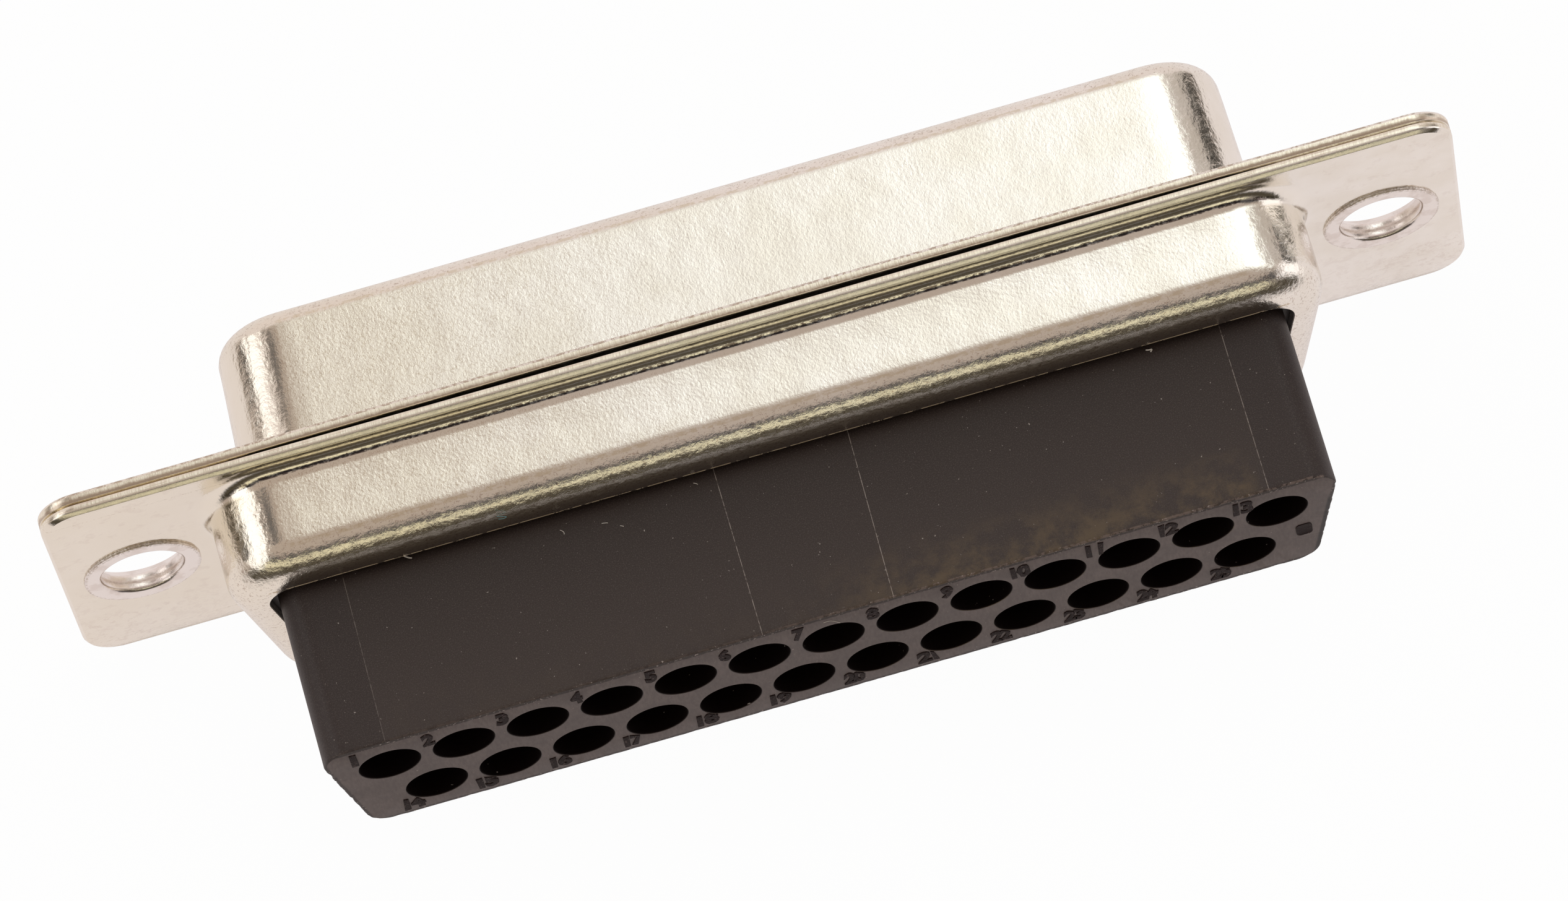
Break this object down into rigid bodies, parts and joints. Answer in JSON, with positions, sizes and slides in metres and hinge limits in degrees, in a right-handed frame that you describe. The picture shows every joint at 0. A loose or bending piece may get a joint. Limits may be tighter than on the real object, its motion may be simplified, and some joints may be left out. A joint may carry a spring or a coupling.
{
  "type": "d-sub connector",
  "caption": "D-shaped metal shell on a flange with two eyelets, and a black moulded housing behind it with open crimp contact cavities in two staggered rows.",
  "frame": {"origin": "centre of the flange-hole pattern, in the plane of the front flange's mating face", "axes": "+X along the flange, +Y the mating direction, out of the front shell, +Z towards the wide side of the D"},
  "size_m": [0.053, 0.0178, 0.0126],
  "materials": {
    "plated_shell": "tin plated, satin, slightly yellow",
    "plated_eyelet": "tin plated, rolled",
    "black_moulding": "glass filled, satin",
    "spring_clip": "beryllium copper, plain"
  },
  "bodies": {
    "root": {"front_shell": "plated_shell", "rear_shell": "plated_shell", "eyelet_left": "plated_eyelet", "eyelet_right": "plated_eyelet", "front_insulator": "black_moulding", "rear_insulator": "black_moulding", "contact_clip_01": "spring_clip", "contact_clip_02": "spring_clip", "contact_clip_03": "spring_clip", "contact_clip_04": "spring_clip", "contact_clip_05": "spring_clip", "contact_clip_06": "spring_clip", "contact_clip_07": "spring_clip", "contact_clip_08": "spring_clip", "contact_clip_09": "spring_clip", "contact_clip_10": "spring_clip", "contact_clip_11": "spring_clip", "contact_clip_12": "spring_clip", "contact_clip_13": "spring_clip", "contact_clip_14": "spring_clip", "contact_clip_15": "spring_clip", "contact_clip_16": "spring_clip", "contact_clip_17": "spring_clip", "contact_clip_18": "spring_clip", "contact_clip_19": "spring_clip", "contact_clip_20": "spring_clip", "contact_clip_21": "spring_clip", "contact_clip_22": "spring_clip", "contact_clip_23": "spring_clip", "contact_clip_24": "spring_clip", "contact_clip_25": "spring_clip"}
  },
  "joints": []
}
